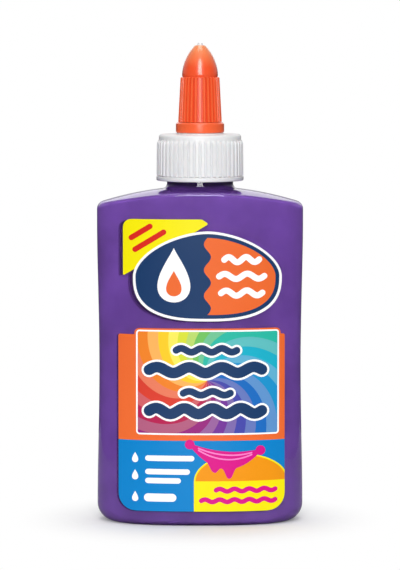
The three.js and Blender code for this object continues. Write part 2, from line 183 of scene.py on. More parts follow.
class Colours(bpy.types.PropertyGroup):
    """Colours of the plastics, the glue and the inks."""

    glue: paint("Glue", "Purple of the glue behind the wall", 127, 82, 180)
    cap: paint("Cap", "White of the screw cap", 232, 232, 233)
    tip: paint("Tip", "Orange of the twist tip", 249, 86, 38)
    liner: paint("Liner", "Off-white of the foam liner", 240, 238, 232)
    yellow: paint("Yellow", "Yellow ink", 243, 230, 2)
    red: paint("Red", "Red ink", 214, 38, 28)
    navy: paint("Navy", "Dark blue ink", 25, 58, 102)
    white: paint("White", "White ink", 253, 253, 253)
    orange: paint("Orange", "Orange ink", 234, 106, 48)
    amber: paint("Amber", "Light orange ink", 236, 148, 10)
    blue: paint("Blue", "Bright blue ink", 0, 128, 199)
    magenta: paint("Magenta", "Magenta ink", 214, 12, 134)
    pink: paint("Pink", "Light pink ink", 248, 130, 200)
    # painted shadow: a see-through dark ink for the shadow that the print casts on the glue
    shade: paint("Shade", "Dark see-through ink of the printed shadows", 30, 8, 46)


class GlueBottle(bpy.types.PropertyGroup):
    """Everything that the operators read."""

    bottle: PointerProperty(type=BottleSizes)
    cap: PointerProperty(type=CapSizes)
    tip: PointerProperty(type=TipSizes)
    label: PointerProperty(type=LabelSizes)
    colours: PointerProperty(type=Colours)


# Mesh helpers

def skin_rings(bm, rings):
    """Skins a stack of rings of places that run the same way round, and closes both ends."""
    column = bm.verts.layers.int.get("column") or bm.verts.layers.int.new("column")
    disc = bmesh.ops.create_circle(
        bm, cap_ends=True, cap_tris=True, segments=len(rings[0]), radius=1
    )["verts"]
    rim = [point for point in disc if point.co.length > 0.5]
    hub = next(point for point in disc if point not in rim)
    rim.sort(key=lambda point: (math.atan2(point.co.y, point.co.x) + 0.001) % TURN)
    for index, point in enumerate(rim):
        point[column] = index
        point.co = rings[0][index]
    hub.co = sum(rings[0], Vector()) / len(rim)
    edges = list({edge for face in hub.link_faces for edge in face.edges if hub not in edge.verts})
    for ring in rings[1:]:
        made = bmesh.ops.extrude_edge_only(bm, edges=edges)["geom"]
        points = {item for item in made if isinstance(item, bmesh.types.BMVert)}
        for point in points:
            point.co = ring[point[column]]
        edges = [
            item for item in made
            if isinstance(item, bmesh.types.BMEdge) and points.issuperset(item.verts)
        ]
    end = bmesh.ops.contextual_create(bm, geom=edges)["faces"]
    bmesh.ops.poke(bm, faces=end)


def rounded(corners):
    """Points of a closed outline whose corners, given as (across, up, radius), are rounded."""
    points = []
    for index, (across, up, radius) in enumerate(corners):
        corner = Vector((across, up))
        if radius == 0:
            points.append(corner)
            continue
        before = (Vector(corners[index - 1][:2]) - corner).normalized()
        after = (Vector(corners[(index + 1) % len(corners)][:2]) - corner).normalized()
        half = before.angle(after) / 2
        centre = corner + (before + after).normalized() * (radius / math.sin(half))
        start = corner + before * (radius / math.tan(half)) - centre
        end = corner + after * (radius / math.tan(half)) - centre
        first = math.atan2(start.y, start.x)
        sweep = (math.atan2(end.y, end.x) - first + math.pi) % TURN - math.pi
        for step in range(ROUND_STEPS + 1):
            angle = first + sweep * step / ROUND_STEPS
            points.append(centre + radius * Vector((math.cos(angle), math.sin(angle))))
    return points


def circle(radius, height, columns):
    """Points of a level circle round the upright axis."""
    angles = [TURN * column / columns for column in range(columns)]
    return [Vector((radius * math.cos(angle), radius * math.sin(angle), height)) for angle in angles]


def turn_outline(bm, outline, columns):
    """Spins a closed outline of (radius, height) points round the upright axis."""
    points = [bm.verts.new((radius, 0, height)) for radius, height in outline]
    edges = [bm.edges.new(pair) for pair in zip(points, points[1:] + points[:1])]
    bmesh.ops.spin(
        bm, geom=points + edges, cent=(0, 0, 0), axis=(0, 0, 1), angle=TURN, steps=columns, use_merge=True
    )


def ease(share):
    """Runs smoothly from 0 to 1 as share does."""
    share = min(1, max(0, share))
    return share * share * (3 - 2 * share)


def wall_rows(foot, top, foot_radius, top_radius, fine, coarse):
    """Points up a straight wall, close together at both ends.

    fine is the distance between the close ones, and coarse is how many parts the whole wall is cut into.
    """
    foot_rows, top_rows = 5, 9
    span = top - foot
    rows = [fine * step for step in range(foot_rows)]
    rows += [span * step / coarse for step in range(1, coarse)]
    rows += [span - fine * step for step in range(top_rows)]
    return [(foot_radius + (top_radius - foot_radius) * row / span, foot + row) for row in sorted(rows)]


def raise_ribs(bm, inside, count, foot, top, depth, flanks, fades, front_rib):
    """Pushes the wall outside a radius out into upright ribs with flat tops and grooves.

    flanks is where, between the middles of a groove and a rib, the rib's side starts and ends. fades is
    how far the ribs take to rise at the foot and at the top. A rib or a groove is turned to the front.
    """
    first = math.pi * (count / 2 + (0 if front_rib else 1))
    # how far each point lies in a groove, kept as the mask of the painted shade in the grooves
    groove = bm.verts.layers.float.new("groove")
    for point in bm.verts:
        radius = math.hypot(point.co.x, point.co.y)
        if radius < inside or not foot <= point.co.z <= top:
            continue
        swell = (1 + math.cos(count * math.atan2(point.co.y, point.co.x) + first)) / 2
        side = ease((swell - flanks[0]) / (flanks[1] - flanks[0]))
        fade = min(1, (point.co.z - foot) / fades[0], (top - point.co.z) / fades[1])
        point[groove] = (1 - side) * max(0, fade)
        share = 1 + depth * side * fade / radius
        point.co.x *= share
        point.co.y *= share


def add_thread(bm, start, turns, lead, root, crest, half):
    """Adds a right-hand helical ridge whose height falls away at both ends.

    turns is where it begins and ends, in turns from the start's height. half is half its width at the root.
    """
    per_turn = 40
    run_out = 7
    least = 0.05
    sink = 0.3 * MM
    steps = round((turns[1] - turns[0]) * per_turn)
    sunk = root - math.copysign(sink, crest - root)
    rings = []
    for step in range(steps + 1):
        turn = turns[0] + step / per_turn
        height = least + (1 - least) * ease(min(step, steps - step) / run_out)
        top = root + (crest - root) * height
        near = root + (top - root) * 0.8
        section = [
            (sunk, -half), (root, -half), (near, -0.5 * half), (top, -0.3 * half),
            (top, 0.3 * half), (near, 0.5 * half), (root, half), (sunk, half),
        ]
        across, along = math.cos(TURN * turn), math.sin(TURN * turn)
        middle = start + lead * turn
        rings.append([Vector((radius * across, radius * along, middle + rise)) for radius, rise in section])
    skin_rings(bm, rings)


def finish_piece(bm, name, materials, body, node, weld=True):
    """Makes an object of a bmesh, with outward faces, ties it to its body and hides the node that it stands
    in for.
    """
    if not bm.faces:
        raise RuntimeError(name + " has no faces")
    if weld:
        bmesh.ops.remove_doubles(bm, verts=bm.verts, dist=0.0001 * MM)
    bmesh.ops.recalc_face_normals(bm, faces=bm.faces)
    mesh = bpy.data.meshes.new(name)
    bm.to_mesh(mesh)
    bm.free()
    mesh.shade_smooth()
    mesh.set_sharp_from_angle(angle=SHARP_EDGE)
    for material in materials:
        mesh.materials.append(material)
    piece = bpy.data.objects.new(name, mesh)
    bpy.context.scene.collection.objects.link(piece)
    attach(piece, body)
    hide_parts(node)


# Materials

class Value:
    """A node's output that takes part in arithmetic."""

    def __init__(self, tree, socket):
        self.tree = tree
        self.socket = socket

    def math(self, operation, *others):
        """Applies a Math node's operation to this value and any others."""
        return self.tree.node("ShaderNodeMath", {"operation": operation}, dict(enumerate((self, *others))))

    def output(self, name):
        """Another output of the same node."""
        return Value(self.tree, self.socket.node.outputs[name])

    def __add__(self, other):
        return self.math("ADD", other)

    def __sub__(self, other):
        return self.math("SUBTRACT", other)

    def __rsub__(self, other):
        return self.tree.node("ShaderNodeMath", {"operation": "SUBTRACT"}, {0: other, 1: self})

    def __mul__(self, other):
        return self.math("MULTIPLY", other)

    def __truediv__(self, other):
        return self.math("DIVIDE", other)

    __radd__ = __add__
    __rmul__ = __mul__


class Tree:
    """A node tree, with one way of making its nodes."""

    def __init__(self, owner):
        owner.use_nodes = True
        self.tree = owner.node_tree

    def node(self, kind, settings=None, inputs=None):
        """Makes a node, sets it up, then fills its inputs with values or links."""
        made = self.tree.nodes.new(kind)
        for name, value in (settings or {}).items():
            setattr(made, name, value)
        self.fill(made, inputs or {})
        return Value(self, next(socket for socket in made.outputs if socket.enabled))

    def fill(self, made, inputs):
        """Fills a node's inputs, by name or number."""
        for name, value in inputs.items():
            if isinstance(value, Value):
                self.tree.links.new(value.socket, made.inputs[name])
            else:
                made.inputs[name].default_value = value

    def ramp(self, value, stops):
        """A colour ramp over a value. stops is a list of (place, colour)."""
        ramp = self.node("ShaderNodeValToRGB", inputs={"Fac": value})
        elements = ramp.socket.node.color_ramp.elements
        while len(elements) < len(stops):
            elements.new(1)
        for element, (place, colour) in zip(elements, stops):
            element.position = place
            element.color = (*colour, 1)
        return ramp

    def mix(self, share, first, second, blend="MIX"):
        """Mixes two colours."""
        settings = {"data_type": "RGBA", "blend_type": blend}
        mixed = self.node("ShaderNodeMix", settings)
        node = mixed.socket.node
        colours = [socket for socket in node.inputs if socket.type == "RGBA"]
        self.fill(node, {"Factor": share})
        for socket, colour in zip(colours, (first, second)):
            if isinstance(colour, Value):
                self.tree.links.new(colour.socket, socket)
            else:
                socket.default_value = (*colour, 1)
        return Value(self, next(socket for socket in node.outputs if socket.type == "RGBA"))

    def place(self):
        """Object coordinates."""
        return self.node("ShaderNodeTexCoord").output("Object")

    def axes(self, place=None):
        """The X, Y and Z of a place or direction, or else of the Object coordinates."""
        parts = self.node("ShaderNodeSeparateXYZ", inputs={"Vector": place or self.place()})
        return [parts.output(name) for name in "XYZ"]

    def fade(self, value, start, end, shape="LINEAR"):
        """Runs from 0 to 1 as a value goes from start to end, and stays level outside them."""
        return self.node("ShaderNodeMapRange", {"interpolation_type": shape}, {0: value, 1: start, 2: end})

    def noise(self, size, detail=2.0):
        """Noise whose features are about that large, in metres."""
        inputs = {"Vector": self.place(), "Scale": 1 / size, "Detail": detail}
        return self.node("ShaderNodeTexNoise", inputs=inputs)

    def bump(self, height, depth):
        """A bumped normal. depth is in metres."""
        return self.node("ShaderNodeBump", inputs={"Height": height, "Distance": depth, "Strength": 1.0})


def new_material(name, **settings):
    """A material, its tree and its shader. settings are the shader's constant sockets, in small letters."""
    material = bpy.data.materials.new(name)
    tree = Tree(material)
    shader = tree.tree.nodes["Principled BSDF"]
    for key, value in settings.items():
        socket = key.replace("_", " ").title().replace("Ior", "IOR")
        tree.fill(shader, {socket: value})
    return material, tree, shader


def scaled(colour, share):
    """A colour made darker, or with a share over 1 brighter."""
    return [min(1, part * share) for part in colour]


def clear_plastic():
    """Clear, glossy blow-moulded wall with a faint waviness."""
    material, tree, shader = new_material("clear_plastic", transmission_weight=1.0, ior=1.5)
    tint = tree.mix(tree.noise(9 * MM), (0.95, 0.94, 0.97), (0.985, 0.98, 0.99))
    gloss = 0.02 + 0.05 * tree.noise(4 * MM)
    normal = tree.bump(tree.noise(14 * MM, 1.0), 0.05 * MM)
    tree.fill(shader, {"Base Color": tint, "Roughness": gloss, "Normal": normal})
    return material


def wet_glue(colour, bottle):
    """Opaque coloured glue against the wall, a little uneven, with painted shade darkening it up the neck's
    wall under the cap.
    """
    material, tree, shader = new_material("purple_glue", specular_ior_level=0.15)
    pale = [part * 1.13 + 0.004 for part in colour]
    cloud = tree.fade(tree.noise(14 * MM, 3.0), 0.35, 0.65)
    cloudy = tree.mix(cloud, scaled(colour, 0.9), pale)
    across, along, height = tree.axes()
    radius = (across * across + along * along).math("SQRT")
    # painted shade: the glue up the neck's wall is darkened where the cap shades it
    neck = tree.fade(height, bottle.shoulder_top - 1 * MM, bottle.shoulder_top + 0.8 * MM)
    wall = tree.fade(radius, bottle.bore - 0.6 * MM, bottle.bore - 0.1 * MM)
    shaded = tree.mix(neck * wall, cloudy, scaled(colour, 0.22))
    rough = 0.4 + 0.2 * tree.noise(3 * MM)
    tree.fill(shader, {"Base Color": shaded, "Roughness": rough})
    return material


def painted_through_light(tree, colour, rib_top, end):
    """The colour and the gloss of a thin plastic, with a painted glow where light passes through it.

    It is painted paler and yellower in the ribs and towards the end, and the ribs are duller than the
    smooth nose.
    """
    # painted glow: a paler, yellower orange mixed in where light shines through the thin ribs and nose
    glow = (0.92, 0.36, 0.14)
    height = tree.axes()[Z]
    ribs = tree.fade(height, rib_top, rib_top - 0.2 * MM)
    nose = tree.fade(height, rib_top + 3 * MM, end)
    return tree.mix(0.16 * ribs + 0.8 * nose, colour, glow), 0.9 - 0.75 * ribs


def moulded_plastic(name, colour, groove_shade, rough, grain, soft, glow_heights=None):
    """Satin moulded plastic with a fine grain. soft is how far light passes into it.

    groove_shade is the share of each colour left in the grooves, as painted shade. glow_heights, where
    given, is the heights where the ribs and the nose end, in a plastic that lets light through, painted as
    a paler glow.
    """
    material, tree, shader = new_material(
        name, subsurface_weight=soft, subsurface_radius=(1, 0.5, 0.35), subsurface_scale=0.5 * MM,
        coat_roughness=0.22
    )
    worn = tree.noise(5 * MM, 3.0)
    shade = tree.mix(worn, scaled(colour, 0.96), scaled(colour, 1.03))
    if glow_heights:
        shade, gloss = painted_through_light(tree, shade, *glow_heights)
        tree.fill(shader, {"Coat Weight": gloss})
    # painted shade: the grooves between the ribs are darkened as if shaded
    groove = tree.node("ShaderNodeAttribute", {"attribute_name": "groove"}).output("Fac")
    shade = tree.mix(groove, shade, groove_shade, "MULTIPLY")
    fine = tree.noise(0.22 * MM, 2.0)
    tree.fill(shader, {
        "Base Color": shade,
        "Roughness": rough - 0.05 + 0.1 * worn,
        "Normal": tree.bump(fine, grain),
    })
    return material


def foam(colour):
    """Fine closed foam."""
    material, tree, shader = new_material("liner_foam", specular_ior_level=0.25)
    cells = tree.node("ShaderNodeTexVoronoi", inputs={"Vector": tree.place(), "Scale": 1 / (0.35 * MM)})
    tone = tree.mix(cells, scaled(colour, 0.92), colour)
    tree.fill(shader, {
        "Base Color": tone,
        "Roughness": 0.75 + 0.15 * cells,
        "Normal": tree.bump(cells, 0.04 * MM),
    })
    return material


def ink_sheen(tree, shader):
    """The gloss that all the printed inks share."""
    tree.fill(shader, {
        "Roughness": 0.3 + 0.08 * tree.noise(2 * MM),
        "Normal": tree.bump(tree.noise(6 * MM, 1.0), 0.012 * MM),
    })


def ink(name, colour, cover):
    """A glossy printed ink with a slight mottle. cover is how much of what lies under it is hidden."""
    material, tree, shader = new_material("ink_" + name, specular_ior_level=0.2 * cover, alpha=cover)
    mottle = tree.noise(0.5 * MM, 3.0)
    tone = tree.mix(mottle, scaled(colour, 0.97), scaled(colour, 1.02))
    tree.fill(shader, {"Base Color": tone})
    ink_sheen(tree, shader)
    return material


# Colours once round the rainbow burst, from the right, over the top and on round
RAINBOW = (
    (0.00, (0.01, 0.24, 0.58)), (0.08, (0.01, 0.40, 0.60)), (0.16, (0.01, 0.46, 0.40)),
    (0.24, (0.09, 0.48, 0.12)), (0.30, (0.48, 0.66, 0.05)), (0.37, (0.92, 0.78, 0.02)),
    (0.43, (0.92, 0.42, 0.02)), (0.50, (0.80, 0.14, 0.02)), (0.57, (0.64, 0.03, 0.03)),
    (0.65, (0.40, 0.01, 0.09)), (0.75, (0.22, 0.02, 0.26)), (0.85, (0.07, 0.05, 0.36)),
    (0.93, (0.01, 0.12, 0.48)), (1.00, (0.01, 0.24, 0.58)),
)
RAYS = 26
RAY_TWIST = 9.0  # turns in a metre outwards
RAY_REST = 16 * MM  # distance from the middle where the rays aren't turned


def rainbow_ink(label):
    """Twisted rays in the colours of the rainbow, every other one a little paler."""
    material, tree, shader = new_material("ink_rainbow", specular_ior_level=0.2)
    place = tree.axes()
    across = place[X] - label.burst_x
    up = place[Z] - label.burst_z
    reach = (across * across + up * up).math("SQRT")
    turn = up.math("ARCTAN2", across) / TURN + RAY_TWIST * (reach - RAY_REST)
    ray = (turn.math("FRACT") * RAYS).math("FLOOR")
    colour = tree.ramp((ray + 0.5) / RAYS, RAINBOW)
    odd = (ray / 2).math("FRACT") * 2
    lit = tree.mix(odd * 0.1, colour, (1.0, 0.96, 0.86))
    tree.fill(shader, {"Base Color": lit})
    ink_sheen(tree, shader)
    return material


# Bottle and glue

COLUMNS = 144  # round the bottle
ANGLES = [TURN * column / COLUMNS for column in range(COLUMNS)]
ARC_STEPS = 9  # along each rounding of its skins
LEAST_ROUND = 0.15 * MM  # of the inner skin's edge


def oval_point(sizes, angle, inset, height=0.0):
    """A point of the oval section at one angle, moved inwards by inset."""
    across = math.copysign(abs(math.cos(angle)) ** (2 / sizes.power), math.cos(angle))
    along = math.copysign(abs(math.sin(angle)) ** (2 / sizes.power), math.sin(angle))
    return Vector((across * (sizes.width / 2 - inset), along * (sizes.depth / 2 - inset), height))


def waist(sizes, height):
    """How far the wall is drawn in at a height."""
    share = min(1, abs(height - sizes.waist_height) / sizes.waist_reach)
    return sizes.waist_inset * (1 - share * share) ** 2


def dome(sizes, inset, point):
    """Height of the shoulder's dome above or below a point, lowered by inset."""
    fall = point.x ** 2 / sizes.shoulder_curve + point.y ** 2 / sizes.shoulder_fall
    return sizes.shoulder_top - inset - fall / 2


def base_rings(sizes, inset):
    """Rings from the hollow under the base, over the flat ring and up round the heel."""
    slope_steps = 6
    heels = [
        sizes.front_heel + (sizes.side_heel - sizes.front_heel) * math.cos(angle) ** 4 for angle in ANGLES
    ]
    rings = []
    for step in range(slope_steps + 1):
        share = 1 - step / slope_steps
        reach = sizes.foot_band + sizes.push_up_slope * share
        height = inset + sizes.push_up * ease(share)
        rings.append([oval_point(sizes, angle, heel + reach, height) for angle, heel in zip(ANGLES, heels)])
    for step in range(ARC_STEPS + 1):
        lift = QUARTER * step / ARC_STEPS
        ring = []
        for angle, heel in zip(ANGLES, heels):
            curve = heel - inset
            inwards = heel - curve * math.sin(lift)
            ring.append(oval_point(sizes, angle, inwards, heel - curve * math.cos(lift)))
        rings.append(ring)
    return rings


def shoulder_edges(sizes, inset):
    """The rounding between wall and shoulder at each angle.

    Each is its angle, how far in its middle lies, the shoulder's slope there and its middle's height.
    """
    edges = []
    for angle in ANGLES:
        reach = sizes.front_edge + (sizes.side_edge - sizes.front_edge) * math.cos(angle) ** 8
        reach = max(reach, inset + LEAST_ROUND)
        curve = reach - inset
        start = oval_point(sizes, angle, reach)
        slope = math.atan(math.hypot(start.x / sizes.shoulder_curve, start.y / sizes.shoulder_fall))
        crown = oval_point(sizes, angle, reach - curve * math.sin(slope))
        edges.append((angle, reach, slope, dome(sizes, inset, crown) - curve * math.cos(slope)))
    return edges


def wall_rings(sizes, inset, edges):
    """Rings up the drawn-in wall, to just under the shoulder's edge."""
    wall_steps = 22
    level_top = min(middle for angle, reach, slope, middle in edges) - 2 * MM
    rings = []
    for step in range(1, wall_steps + 1):
        height = sizes.side_heel + (level_top - sizes.side_heel) * step / wall_steps
        inwards = inset + waist(sizes, height)
        rings.append([oval_point(sizes, angle, inwards, height) for angle in ANGLES])
    for drop in (0.6 * MM, 0.1 * MM):
        rings.append([
            oval_point(sizes, angle, inset + waist(sizes, middle - drop), middle - drop)
            for angle, reach, slope, middle in edges
        ])
    return rings


def shoulder_rings(sizes, inset, edges, neck_foot):
    """Rings over the shoulder's edge and across its dome, in to the foot of the neck's fillet."""
    dome_steps = 10
    rings = []
    for step in range(ARC_STEPS + 1):
        ring = []
        for angle, reach, slope, middle in edges:
            lift = (QUARTER - slope) * step / ARC_STEPS
            curve = reach - inset
            inwards = reach - curve * math.cos(lift)
            ring.append(oval_point(sizes, angle, inwards, middle + curve * math.sin(lift)))
        rings.append(ring)
    rim = rings[-1]
    for step in range(1, dome_steps + 1):
        ring = []
        for start, end in zip(rim, circle(neck_foot, 0, COLUMNS)):
            place = Vector((start.x, start.y, 0)).lerp(end, step / dome_steps)
            place.z = dome(sizes, inset, place)
            ring.append(place)
        rings.append(ring)
    return rings


def neck_rings(sizes, inset, neck, fillet, top):
    """Rings up the fillet and the neck."""
    rings = []
    for step in range(1, ARC_STEPS + 1):
        angle = QUARTER * step / ARC_STEPS
        rise = fillet * (1 - math.cos(angle))
        ring = circle(neck + fillet * (1 - math.sin(angle)), 0, COLUMNS)
        for point, foot in zip(ring, circle(neck + fillet, 0, COLUMNS)):
            point.z = dome(sizes, inset, foot) + rise
        rings.append(ring)
    return [*rings, circle(neck, top, COLUMNS)]


def bottle_skin(sizes, inset, neck, fillet, top):
    """Rings of one skin of the bottle, from near the middle of the base up to the top of the neck."""
    edges = shoulder_edges(sizes, inset)
    return [
        *base_rings(sizes, inset),
        *wall_rings(sizes, inset, edges),
        *shoulder_rings(sizes, inset, edges, neck + fillet),
        *neck_rings(sizes, inset, neck, fillet, top),
    ]


def lip_rings(sizes):
    """Rings over the rounded lip, from the outside of the neck to its bore."""
    steps = 4
    rings = []
    for sign, radius in ((1, sizes.neck), (-1, sizes.bore)):
        for step in range(1, steps + 1):
            share = step / steps
            angle = QUARTER * (share if sign > 0 else 1 - share)
            reach = radius - sign * sizes.lip * (1 - math.cos(angle))
            height = sizes.mouth - sizes.lip * (1 - math.sin(angle))
            rings.append(circle(reach, height, COLUMNS))
    return rings


class OBJECT_OT_glue_bottle_shell(bpy.types.Operator):
    """Models the clear bottle with its lip and thread"""

    bl_idname = "object.glue_bottle_shell"
    bl_label = "Clear bottle"

    def execute(self, context):
        sizes = context.scene.glue_bottle.bottle
        cap = context.scene.glue_bottle.cap
        neck_top = sizes.mouth - sizes.lip
        outer = bottle_skin(sizes, 0, sizes.neck, sizes.fillet, neck_top)
        inner = bottle_skin(sizes, sizes.wall, sizes.bore, sizes.fillet + sizes.wall, neck_top)
        bm = bmesh.new()
        skin_rings(bm, outer + lip_rings(sizes) + inner[-2::-1])
        thread_start = sizes.mouth - 9.1 * MM
        add_thread(bm, thread_start, (0, 1.5), cap.pitch, sizes.neck, sizes.thread_crest, half=1.1 * MM)
        finish_piece(bm, "clear_bottle", [clear_plastic()], "bottle", "bottle")
        return {"FINISHED"}


class OBJECT_OT_glue_bottle_glue(bpy.types.Operator):
    """Models the glue that fills the bottle"""

    bl_idname = "object.glue_bottle_glue"
    bl_label = "Glue"

    def execute(self, context):
        settings = context.scene.glue_bottle
        sizes = settings.bottle
        overlap = 0.05 * MM
        bore = sizes.bore + overlap
        fillet = sizes.fillet + sizes.wall
        rings = bottle_skin(sizes, sizes.wall - overlap, bore, fillet, sizes.fill_level)
        creep = 0.6 * MM
        creep_steps = 5
        for step in range(1, creep_steps + 1):
            share = step / creep_steps
            dip = creep * (1 - (1 - share) ** 2)
            rings.append(circle(bore * (1 - share * creep / sizes.bore), sizes.fill_level - dip, COLUMNS))
        bm = bmesh.new()
        skin_rings(bm, rings)
        glue = wet_glue(settings.colours.glue, sizes)
        finish_piece(bm, "purple_glue", [glue], "bottle", "glue_fill")
        return {"FINISHED"}


# Labels

PANEL_CORNER = 0.6 * MM  # rounding of the front panels' upper corners
FLAG_INSET = 1.5 * MM  # of the flag from the label's left edge
FLAG_FOOT = 78 * MM  # where its slanted edge starts
FLAG_POINT = Vector((2.7 * MM, 94.3 * MM))  # and where it ends
BADGE_MIDDLE = Vector((2.3 * MM, 78 * MM))


def box_outline(left, right, foot, top, radii):
    """A rectangle with rounded corners, from the lower left one and round by the lower right one."""
    places = ((left, foot), (right, foot), (right, top), (left, top))
    return rounded([(*place, radius) for place, radius in zip(places, radii)])


def oval_outline(across, up, half_width, half_height, upper=2.0, lower=2.0):
    """An ellipse, or with other powers than 2 a leaner or fuller oval."""
    steps = 96
    points = []
    for step in range(steps):
        angle = TURN * step / steps
        power = upper if step < steps / 2 else lower
        wide, tall = [
            math.copysign(abs(part) ** (2 / power), part) for part in (math.cos(angle), math.sin(angle))
        ]
        points.append(Vector((across + half_width * wide, up + half_height * tall)))
    return points


def drop_outline(across, up, size):
    """A drop with its point upwards, of that height."""
    steps = 48
    points = []
    for step in range(steps):
        angle = TURN * (step + 0.5) / steps
        wide = 0.42 * size * math.sin(angle) * math.sin(angle / 2) ** 1.4
        points.append(Vector((across + wide, up + 0.5 * size * math.cos(angle))))
    return points


def stroke_outline(line, width):
    """A line of points, drawn with that width and round ends."""
    end_steps = 8
    ahead = [(b - a).normalized() for a, b in zip(line, line[1:])]
    ahead.append(ahead[-1])
    sides = [Vector((-step.y, step.x)) * width / 2 for step in ahead]
    left = [point + side for point, side in zip(line, sides)]
    right = [point - side for point, side in zip(line, sides)]

    def round_end(point, side):
        turns = [math.pi * step / end_steps for step in range(1, end_steps)]
        return [
            point + Vector((
                side.x * math.cos(turn) + side.y * math.sin(turn),
                side.y * math.cos(turn) - side.x * math.sin(turn),
            ))
            for turn in turns
        ]

    return left + round_end(line[-1], sides[-1]) + right[::-1] + round_end(line[0], -sides[0])


def bar_outline(left, up, reach, width):
    """A level bar with round ends."""
    return stroke_outline([Vector((left, up)), Vector((left + reach, up))], width)


def wave(left, right, up, swing, repeat):
    """Points of a level wavy line. repeat is the length of one wave."""
    steps = 60
    points = []
    for step in range(steps + 1):
        along = (right - left) * step / steps
        points.append(Vector((left + along, up + swing * math.sin(TURN * along / repeat))))
    return points


def slanted(across, up, half_length, angle):
    """The two ends of a slanted line round its middle."""
    reach = Vector((math.cos(angle), math.sin(angle))) * half_length
    return [Vector((across, up)) - reach, Vector((across, up)) + reach]


def hang(share):
    """How far a stretched sheet hangs at a share of its span, from 0 at its ends to 1 in its middle."""
    return 4 * share * (1 - share)


def swag_outline(start, end, upper_sag, lower_sag, drips):
    """A stretched sheet that hangs between two points, with drips, given as (share, length), below it."""
    steps = 80
    edge = 0.9 * MM
    drip_width = 0.065
    upper, lower = [], []
    for step in range(steps + 1):
        share = step / steps
        drip = sum(size * math.exp(-abs((share - place) / drip_width) ** 3) for place, size in drips)
        thick = edge + (lower_sag - upper_sag) * hang(share) + drip
        top = start.lerp(end, share) - Vector((0, upper_sag * hang(share)))
        upper.append(top)
        lower.append(top - Vector((0, thick)))
    return lower + upper[::-1]


def fold_line(start, end, sag):
    """Points of a fold along a stretched sheet, short of both its ends."""
    steps = 24
    drop = 0.3 * MM
    shares = [step / steps for step in range(3, steps - 2)]
    return [start.lerp(end, share) - Vector((0, drop + sag * hang(share))) for share in shares]


def hill_outline(centre, half_width, height, right):
    """The upper half of an ellipse that stands on a level line and is cut off at the right."""
    steps = 40
    last = math.acos(min(1, (right - centre.x) / half_width))
    points = []
    for step in range(steps + 1):
        angle = last + (math.pi - last) * step / steps
        points.append(centre + Vector((half_width * math.cos(angle), height * math.sin(angle))))
    points.append(Vector((right, centre.y)))
    return points


# A print is a list of shapes, each a layer, an ink and an outline: higher layers lie over lower ones

def badge_outline(inset):
    """The badge's outline, drawn in by inset."""
    return oval_outline(*BADGE_MIDDLE, 23.1 * MM - inset, 14 * MM - inset, 1.75, 2.7)


def badge_shapes():
    """The badge: a drop on a navy field at the left and three waves on an orange one at the right."""
    across, up = BADGE_MIDDLE
    drop_middle, wave_middle = across - 10.4 * MM, across + 10.6 * MM
    ring = badge_outline(2 * MM)
    quarter = len(ring) // 4
    foot, top = ring[3 * quarter].y, ring[quarter].y
    upright = wave(foot, top, across, 1.1 * MM, (top - foot) / 3)
    divide = [Vector((place, height)) for height, place in upright]
    shapes = [
        (4, "white", badge_outline(0)),
        (5, "navy", badge_outline(0.8 * MM)),
        (6, "orange", ring[3 * quarter:] + ring[:quarter] + divide[:0:-1]),
        (6, "white", drop_outline(drop_middle, up + 0.4 * MM, 17 * MM)),
        (7, "orange", drop_outline(drop_middle, up - 2.2 * MM, 8 * MM)),
    ]
    for rise, half in ((5.2, 5.4), (0, 7), (-5.2, 6.4)):
        left, right = wave_middle - half * MM, wave_middle + half * MM
        line = wave(left, right, up + rise * MM, 0.8 * MM, half * MM)
        shapes.append((7, "white", stroke_outline(line, 1.9 * MM)))
    return shapes


def burst_shapes():
    """The rainbow panel in its frames, with four squiggles of glue across it."""
    left, right, foot, top = -20.4 * MM, 25.1 * MM, 28 * MM, 61.8 * MM
    corner = 1.6 * MM
    frames = (("orange", 0), ("white", 0.55 * MM), ("rainbow", 1.05 * MM))
    shapes = []
    for layer, (name, inset) in enumerate(frames, start=4):
        edges = (left + inset, right - inset, foot + inset, top - inset)
        shapes.append((layer, name, box_outline(*edges, [corner - inset] * 4)))
    squiggles = (  # left, right, height, swing, length of a wave, width
        (-7.4, 11.4, 55.0, 0.6, 6.3, 2.2), (-15.8, 19.2, 48.8, 0.9, 10.0, 3.4),
        (-5.2, 9.4, 41.6, 0.6, 7.3, 2.2), (-15.8, 19.2, 36.0, 0.9, 8.75, 3.4),
    )
    outline = 1.3 * MM
    for squiggle in squiggles:
        *sizes, width = [size * MM for size in squiggle]
        line = wave(*sizes)
        shapes.append((7, "white", stroke_outline(line, width + outline)))
        shapes.append((8, "navy", stroke_outline(line, width)))
    return shapes


def shadow_shapes(outlines):
    """Painted shadow: two see-through dark plates under each outline, a little to its left and below it."""
    shapes = []
    for outline, reach in outlines:
        for layer, shift in enumerate((reach, 0.55 * reach)):
            shapes.append((layer, "shade", [point - Vector((shift, 0.25 * shift)) for point in outline]))
    return shapes


def flag_outline(label):
    """The flag at the label's upper left, cut off on the slant."""
    left, top = label.left + FLAG_INSET, label.top - 0.2 * MM
    return rounded([
        (left, FLAG_FOOT, 0.3 * MM), (*FLAG_POINT, 0.4 * MM),
        (0.6 * MM, top, 0.8 * MM), (left, top, 2.6 * MM),
    ])


def flag_shapes(label):
    """The yellow flag, with two red bars along its slant."""
    slant = FLAG_POINT - Vector((label.left + FLAG_INSET, FLAG_FOOT))
    slope = math.atan2(slant.y, slant.x)
    shapes = [(2, "yellow", flag_outline(label))]
    for across, up, half in ((-18.4, 91.7, 3.4), (-15.7, 89, 5.2)):
        line = slanted(across * MM, up * MM, half * MM, slope)
        shapes.append((3, "red", stroke_outline(line, 1.7 * MM)))
    return shapes


